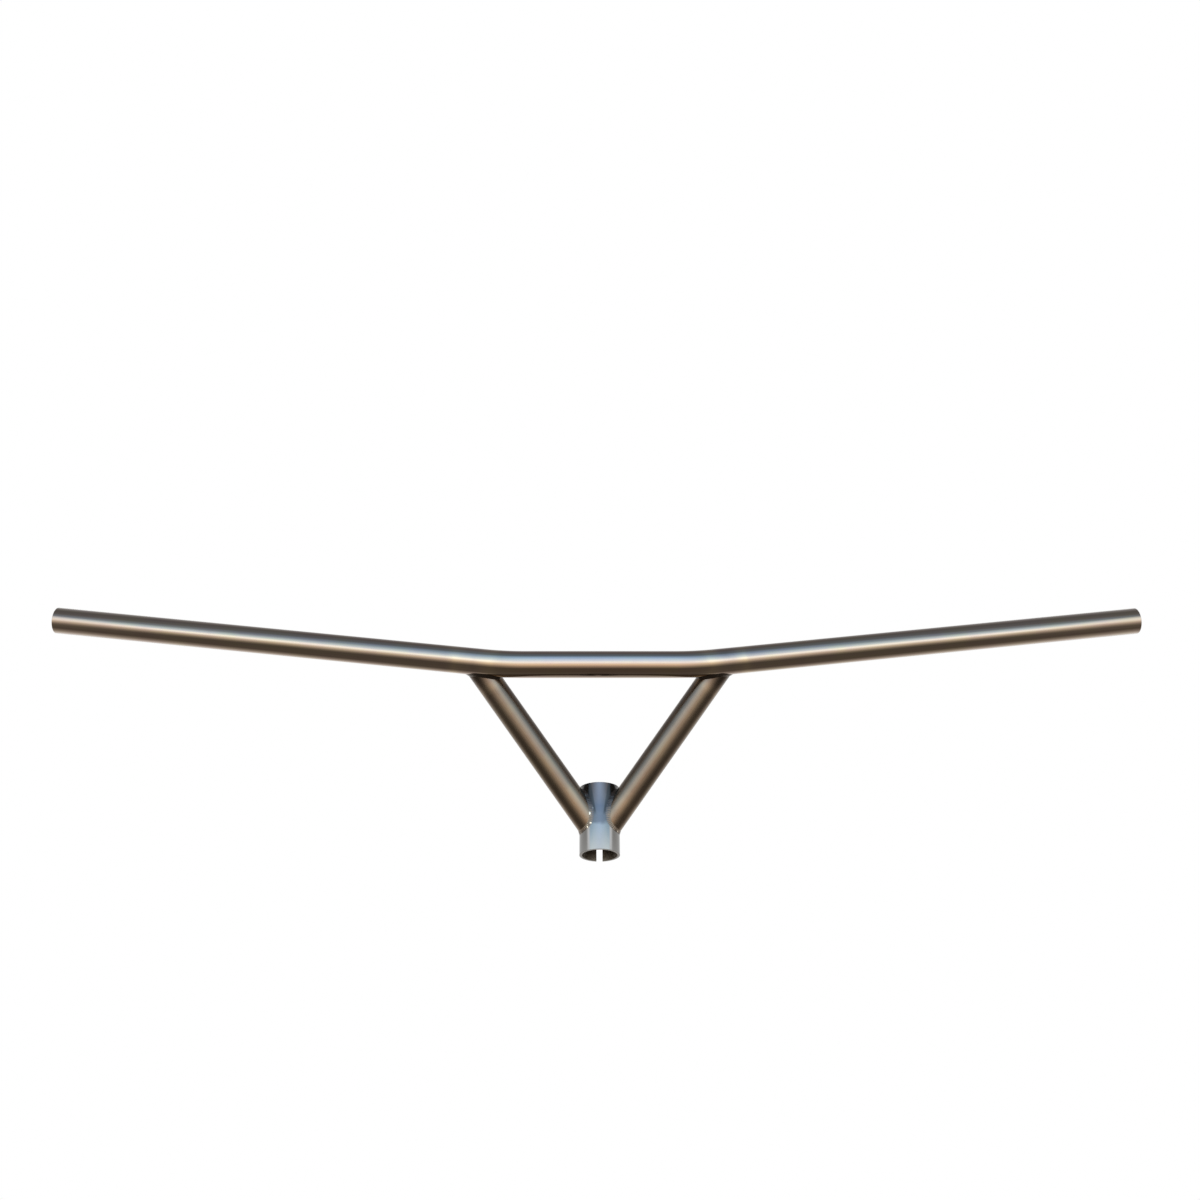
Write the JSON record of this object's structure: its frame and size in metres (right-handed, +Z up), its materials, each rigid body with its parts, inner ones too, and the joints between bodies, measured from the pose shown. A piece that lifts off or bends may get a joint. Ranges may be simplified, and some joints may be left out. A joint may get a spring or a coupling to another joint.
{
  "type": "bicycle handlebar",
  "caption": "Wide bent tube handlebar with an integral V-shaped twin-strut stem, welded to a split collar that clamps on a bicycle's steerer tube.",
  "frame": {"origin": "centre of the steerer hole at the collar's lower end", "axes": "+Z up along the steerer's axis, -Y forwards, +X to the rider's left along the bar"},
  "size_m": [0.9354, 0.0935, 0.2282],
  "materials": {
    "tube_metal": "satin bare metal with a warm bronze tone",
    "collar_metal": "bright polished bare metal",
    "weld_metal": "rippled weld bead",
    "bolt_steel": "plated steel"
  },
  "bodies": {
    "root": {"bar_tube": "tube_metal", "left_strut": "tube_metal", "right_strut": "tube_metal", "steerer_collar": "collar_metal", "pinch_bolts": "bolt_steel", "left_bar_weld": "weld_metal", "left_collar_weld": "weld_metal", "right_bar_weld": "weld_metal", "right_collar_weld": "weld_metal", "upper_head_boss": "collar_metal", "upper_head_boss_weld": "weld_metal", "upper_thread_boss": "collar_metal", "upper_thread_boss_weld": "weld_metal", "lower_head_boss": "collar_metal", "lower_head_boss_weld": "weld_metal", "lower_thread_boss": "collar_metal", "lower_thread_boss_weld": "weld_metal"}
  },
  "joints": []
}
